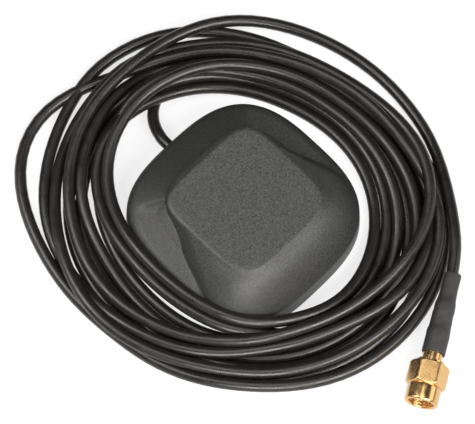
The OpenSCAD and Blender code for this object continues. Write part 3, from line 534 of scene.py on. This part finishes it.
def make_sleeve():
    angle = np.arange(SLEEVE_STEPS) * 2 * math.pi / SLEEVE_STEPS
    profile = np.array(SLEEVE_PROFILE)
    outer = profile[:-1]
    rings = []
    line = through(np.column_stack([outer, np.zeros(len(outer))]), 0.22)
    for s, r, _ in line:
        swell = 0.5 - 0.5 * math.cos(2 * math.pi * min(1.0, max(0.0, (s - 12.6) / 16.0)))
        wave = (0.035 * np.sin(angle * 2 + s * 0.9) + 0.022 * np.sin(angle * 3 - s * 1.7 + 1.2)
                + 0.014 * np.sin(angle * 5 + s * 2.9 + 0.5))
        rings.append((np.full_like(angle, s), r + wave * (0.25 + swell)))
    rings.append((np.full_like(angle, profile[-1, 0]), np.full_like(angle, profile[-1, 1])))
    rings.append((np.full_like(angle, 25.0), np.full_like(angle, 1.46)))
    rings.append((np.full_like(angle, 17.8), np.full_like(angle, 2.29)))
    rings.append((np.full_like(angle, 12.1), np.full_like(angle, 2.29)))
    points = np.concatenate([plug_points(s, r, angle) for s, r in rings])
    sleeve = add_mesh("sleeve", points, ring_faces(len(rings), SLEEVE_STEPS, True), "root")
    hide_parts("heat_shrink")
    return sleeve


sleeve = make_sleeve()


# Materials
def make_material(name, colour, roughness, metallic=0.0, specular=0.5, grain=0.0, grain_depth=0.0,
                  mottle=0.0, mottle_size=1.0, rough_spread=0.0, tint=(1.0, 1.0, 1.0), painted_sheen_above=None,
                  painted_sheen_factor=1.0):
    """A procedural finish.

    Sizes are in millimetres. mottle is how much the colour varies, and above the height painted_sheen_above
    the colour is painted_sheen_factor times as strong: a painted sheen for light falling on the top.
    """
    material = bpy.data.materials.new(name)
    material.use_nodes = True
    nodes, links = material.node_tree.nodes, material.node_tree.links
    nodes.clear()
    out = nodes.new("ShaderNodeOutputMaterial")
    shader = nodes.new("ShaderNodeBsdfPrincipled")
    links.new(shader.outputs["BSDF"], out.inputs["Surface"])
    shader.inputs["Base Color"].default_value = (*colour, 1)
    shader.inputs["Roughness"].default_value = roughness
    shader.inputs["Metallic"].default_value = metallic
    shader.inputs["Specular IOR Level"].default_value = specular
    shader.inputs["Specular Tint"].default_value = (*tint, 1)
    place = nodes.new("ShaderNodeTexCoord")

    def noise(size, detail):
        node = nodes.new("ShaderNodeTexNoise")
        node.inputs["Scale"].default_value = 1000.0 / size
        node.inputs["Detail"].default_value = detail
        links.new(place.outputs["Object"], node.inputs["Vector"])
        return node

    if mottle:
        ramp = nodes.new("ShaderNodeMapRange")
        ramp.inputs["From Min"].default_value = 0.3
        ramp.inputs["From Max"].default_value = 0.7
        ramp.inputs["To Min"].default_value = 1 - mottle
        ramp.inputs["To Max"].default_value = 1 + mottle
        links.new(noise(mottle_size, 3).outputs["Fac"], ramp.inputs["Value"])
        amount = ramp.outputs["Result"]
        # Painted sheen: above this height the colour is made paler, standing in for light falling on the top
        if painted_sheen_above:
            split = nodes.new("ShaderNodeSeparateXYZ")
            links.new(place.outputs["Object"], split.inputs["Vector"])
            high = nodes.new("ShaderNodeMapRange")
            high.inputs["From Min"].default_value = (painted_sheen_above - 0.1) * MM
            high.inputs["From Max"].default_value = painted_sheen_above * MM
            high.inputs["To Min"].default_value = 1.0
            high.inputs["To Max"].default_value = painted_sheen_factor
            links.new(split.outputs["Z"], high.inputs["Value"])
            both = nodes.new("ShaderNodeMath")
            both.operation = "MULTIPLY"
            links.new(amount, both.inputs[0])
            links.new(high.outputs["Result"], both.inputs[1])
            amount = both.outputs["Value"]
        mix = nodes.new("ShaderNodeVectorMath")
        mix.operation = "SCALE"
        mix.inputs[0].default_value = colour
        links.new(amount, mix.inputs["Scale"])
        links.new(mix.outputs["Vector"], shader.inputs["Base Color"])
    if rough_spread:
        ramp = nodes.new("ShaderNodeMapRange")
        ramp.inputs["From Min"].default_value = 0.3
        ramp.inputs["From Max"].default_value = 0.7
        ramp.inputs["To Min"].default_value = max(0.02, roughness - rough_spread)
        ramp.inputs["To Max"].default_value = roughness + rough_spread
        links.new(noise(mottle_size, 2).outputs["Fac"], ramp.inputs["Value"])
        links.new(ramp.outputs["Result"], shader.inputs["Roughness"])
    if grain:
        bump = nodes.new("ShaderNodeBump")
        bump.inputs["Strength"].default_value = 1.0
        bump.inputs["Distance"].default_value = grain_depth * MM
        links.new(noise(grain, 2).outputs["Fac"], bump.inputs["Height"])
        links.new(bump.outputs["Normal"], shader.inputs["Normal"])
    return material


FINISHES = {
    # The flat top is painted paler, a painted sheen that stands in for light from above: the lamps here
    # don't bring it to its brightness there, so the colour does
    "housing": make_material("housing_black", (0.021, 0.0208, 0.0193), 0.5, specular=0.6, grain=0.36,
                             grain_depth=0.06, mottle=0.8, mottle_size=0.32, tint=(1.0, 0.99, 0.94),
                             painted_sheen_above=HEIGHT - 0.1, painted_sheen_factor=1.5),
    "gasket": make_material("gasket_rubber", (0.02, 0.02, 0.022), 0.8, grain=0.6, grain_depth=0.02),
    "screw_steel": make_material("screw_steel", (0.55, 0.55, 0.57), 0.3, 1.0, grain=0.5, grain_depth=0.005),
    "magnet": make_material("magnet_grey", (0.08, 0.08, 0.085), 0.5, 0.6, grain=0.3, grain_depth=0.02),
    "board": make_material("board_green", (0.02, 0.12, 0.05), 0.35, grain=1.5, grain_depth=0.01),
    "ceramic": make_material("patch_ceramic", (0.55, 0.5, 0.4), 0.6, grain=0.3, grain_depth=0.01),
    "silvering": make_material("silvering", (0.75, 0.74, 0.71), 0.35, 1.0, grain=0.4, grain_depth=0.008),
    "adhesive": make_material("adhesive_foam", (0.7, 0.69, 0.64), 0.9, grain=0.3, grain_depth=0.03),
    "tinplate": make_material("tinplate", (0.66, 0.66, 0.66), 0.25, 1.0, grain=2.0, grain_depth=0.01),
    "chip": make_material("chip_epoxy", (0.02, 0.02, 0.02), 0.6, grain=0.2, grain_depth=0.01),
    "filter": make_material("filter_ceramic", (0.6, 0.5, 0.3), 0.4, 0.3, grain=0.5, grain_depth=0.005),
    "bush": make_material("bush_rubber", (0.02, 0.02, 0.02), 0.75, grain=0.5, grain_depth=0.02),
    "jacket": make_material("jacket_black", (0.0105, 0.0095, 0.0087), 0.32, grain=1.4, grain_depth=0.02,
                            mottle_size=3.0, rough_spread=0.08, tint=(1.0, 0.97, 0.93)),
    "braid": make_material("braid_tinned", (0.6, 0.58, 0.55), 0.4, 1.0, grain=0.25, grain_depth=0.08),
    "insulation": make_material("insulation_white", (0.8, 0.8, 0.77), 0.4, grain=1.0, grain_depth=0.01),
    "copper": make_material("copper_wire", (0.8, 0.42, 0.25), 0.3, 1.0, grain=0.4, grain_depth=0.005),
    "sleeve": make_material("sleeve_black", (0.0225, 0.0208, 0.0198), 0.6, grain=0.5, grain_depth=0.03,
                            mottle=0.15, mottle_size=2.0),
    "gold": make_material("gold_plate", (0.70, 0.435, 0.185), 0.24, 1.0, grain=0.9, grain_depth=0.006,
                          mottle=0.05, mottle_size=1.5, rough_spread=0.06),
    "ptfe": make_material("ptfe_white", (0.84, 0.82, 0.77), 0.4, grain=0.6, grain_depth=0.01),
    "ring_bronze": make_material("ring_bronze", (0.7, 0.5, 0.25), 0.35, 1.0, grain=0.4, grain_depth=0.006),
    "washer": make_material("washer_red", (0.4, 0.04, 0.03), 0.5, grain=0.5, grain_depth=0.01),
}


def finish_with(piece, slot):
    piece.data.materials.clear()
    piece.data.materials.append(FINISHES[slot])


for piece, slot in ((cable, "jacket"), (cover, "housing"), (nut, "gold"), (sleeve, "sleeve")):
    finish_with(piece, slot)
slots = {row["node"]: row["material_slot"] for row in frame["record"]["subparts"]}
for name, node in frame["nodes"].items():
    finish_with(node, slots[name])


# Floor, light and background
# How much of the floor's look is plain white; the rest keeps the shadow
FLOOR_WHITENESS = 0.72


def whiten(material, share):
    """Mixes in plain white for rays from the camera, mirrors and clear materials."""
    nodes, links = material.node_tree.nodes, material.node_tree.links
    out = next(n for n in nodes if n.type == "OUTPUT_MATERIAL")
    shader = next(n for n in nodes if n.type == "BSDF_PRINCIPLED")
    path = nodes.new("ShaderNodeLightPath")
    glossy = nodes.new("ShaderNodeMath")
    glossy.operation = "MAXIMUM"
    links.new(path.outputs["Is Camera Ray"], glossy.inputs[0])
    links.new(path.outputs["Is Glossy Ray"], glossy.inputs[1])
    seen = nodes.new("ShaderNodeMath")
    seen.operation = "MAXIMUM"
    links.new(glossy.outputs["Value"], seen.inputs[0])
    links.new(path.outputs["Is Transmission Ray"], seen.inputs[1])
    part = nodes.new("ShaderNodeMath")
    part.operation = "MULTIPLY"
    part.inputs[1].default_value = share
    links.new(seen.outputs["Value"], part.inputs[0])
    white = nodes.new("ShaderNodeEmission")
    white.inputs["Color"].default_value = (1, 1, 1, 1)
    white.inputs["Strength"].default_value = 1.0
    mix = nodes.new("ShaderNodeMixShader")
    links.new(part.outputs["Value"], mix.inputs["Fac"])
    links.new(shader.outputs["BSDF"], mix.inputs[1])
    links.new(white.outputs["Emission"], mix.inputs[2])
    links.new(mix.outputs["Shader"], out.inputs["Surface"])


def make_floor():
    half = 1.2
    corners = [(-half, -half, 0), (half, -half, 0), (half, half, 0), (-half, half, 0)]
    mesh = bpy.data.meshes.new("floor")
    mesh.from_pydata(corners, [], [(0, 1, 2, 3)])
    floor = bpy.data.objects.new("floor", mesh)
    bpy.context.scene.collection.objects.link(floor)
    # A hair lower than the object, so that the two don't share a surface
    floor.location.z = -0.02 * MM
    material = make_material("floor_white", (0.92, 0.92, 0.92), 0.9, specular=0.0)
    whiten(material, FLOOR_WHITENESS)
    mesh.materials.append(material)


LAMP_SIDE = 0.5
# Each lamp: its place to the right, away and up in metres, and its power in watts
LAMPS = [
    ("above", (0.0, 0.0, 1.0), 2.4),
    ("front", (0.0, -0.866, 0.5), 9.0),
    ("front_right", (0.5, -0.5, 0.707), 9.4),
    ("right", (0.906, 0.0, 0.423), 1.4),
    ("left", (-0.574, 0.0, 0.819), 5.7),
    ("left_low", (-0.906, 0.0, 0.423), 1.1),
]
WORLD_STRENGTH = 0.04


def make_light(name, place, power):
    data = bpy.data.lights.new(name, "AREA")
    data.shape = "RECTANGLE"
    data.size = data.size_y = LAMP_SIDE
    data.energy = power
    lamp = bpy.data.objects.new(name, data)
    bpy.context.scene.collection.objects.link(lamp)
    right, away, height = place
    lamp.location = RIGHT * right + AWAY * away + Vector((0, 0, height))
    lamp.rotation_euler = (-lamp.location).to_track_quat("-Z", "Y").to_euler()


def make_world(strength):
    world = bpy.data.worlds.new("world")
    bpy.context.scene.world = world
    world.use_nodes = True
    nodes, links = world.node_tree.nodes, world.node_tree.links
    nodes.clear()
    out = nodes.new("ShaderNodeOutputWorld")
    seen = nodes.new("ShaderNodeBackground")
    seen.inputs["Color"].default_value = (1, 1, 1, 1)
    seen.inputs["Strength"].default_value = 1.0
    lit = nodes.new("ShaderNodeBackground")
    lit.inputs["Color"].default_value = (1, 1, 1, 1)
    lit.inputs["Strength"].default_value = strength
    mix = nodes.new("ShaderNodeMixShader")
    path = nodes.new("ShaderNodeLightPath")
    links.new(path.outputs["Is Camera Ray"], mix.inputs["Fac"])
    links.new(lit.outputs["Background"], mix.inputs[1])
    links.new(seen.outputs["Background"], mix.inputs[2])
    links.new(mix.outputs["Shader"], out.inputs["Surface"])


make_floor()
for name, place, power in LAMPS:
    make_light(name, place, power)
make_world(WORLD_STRENGTH)
scene = bpy.context.scene
scene.view_settings.view_transform = "Standard"
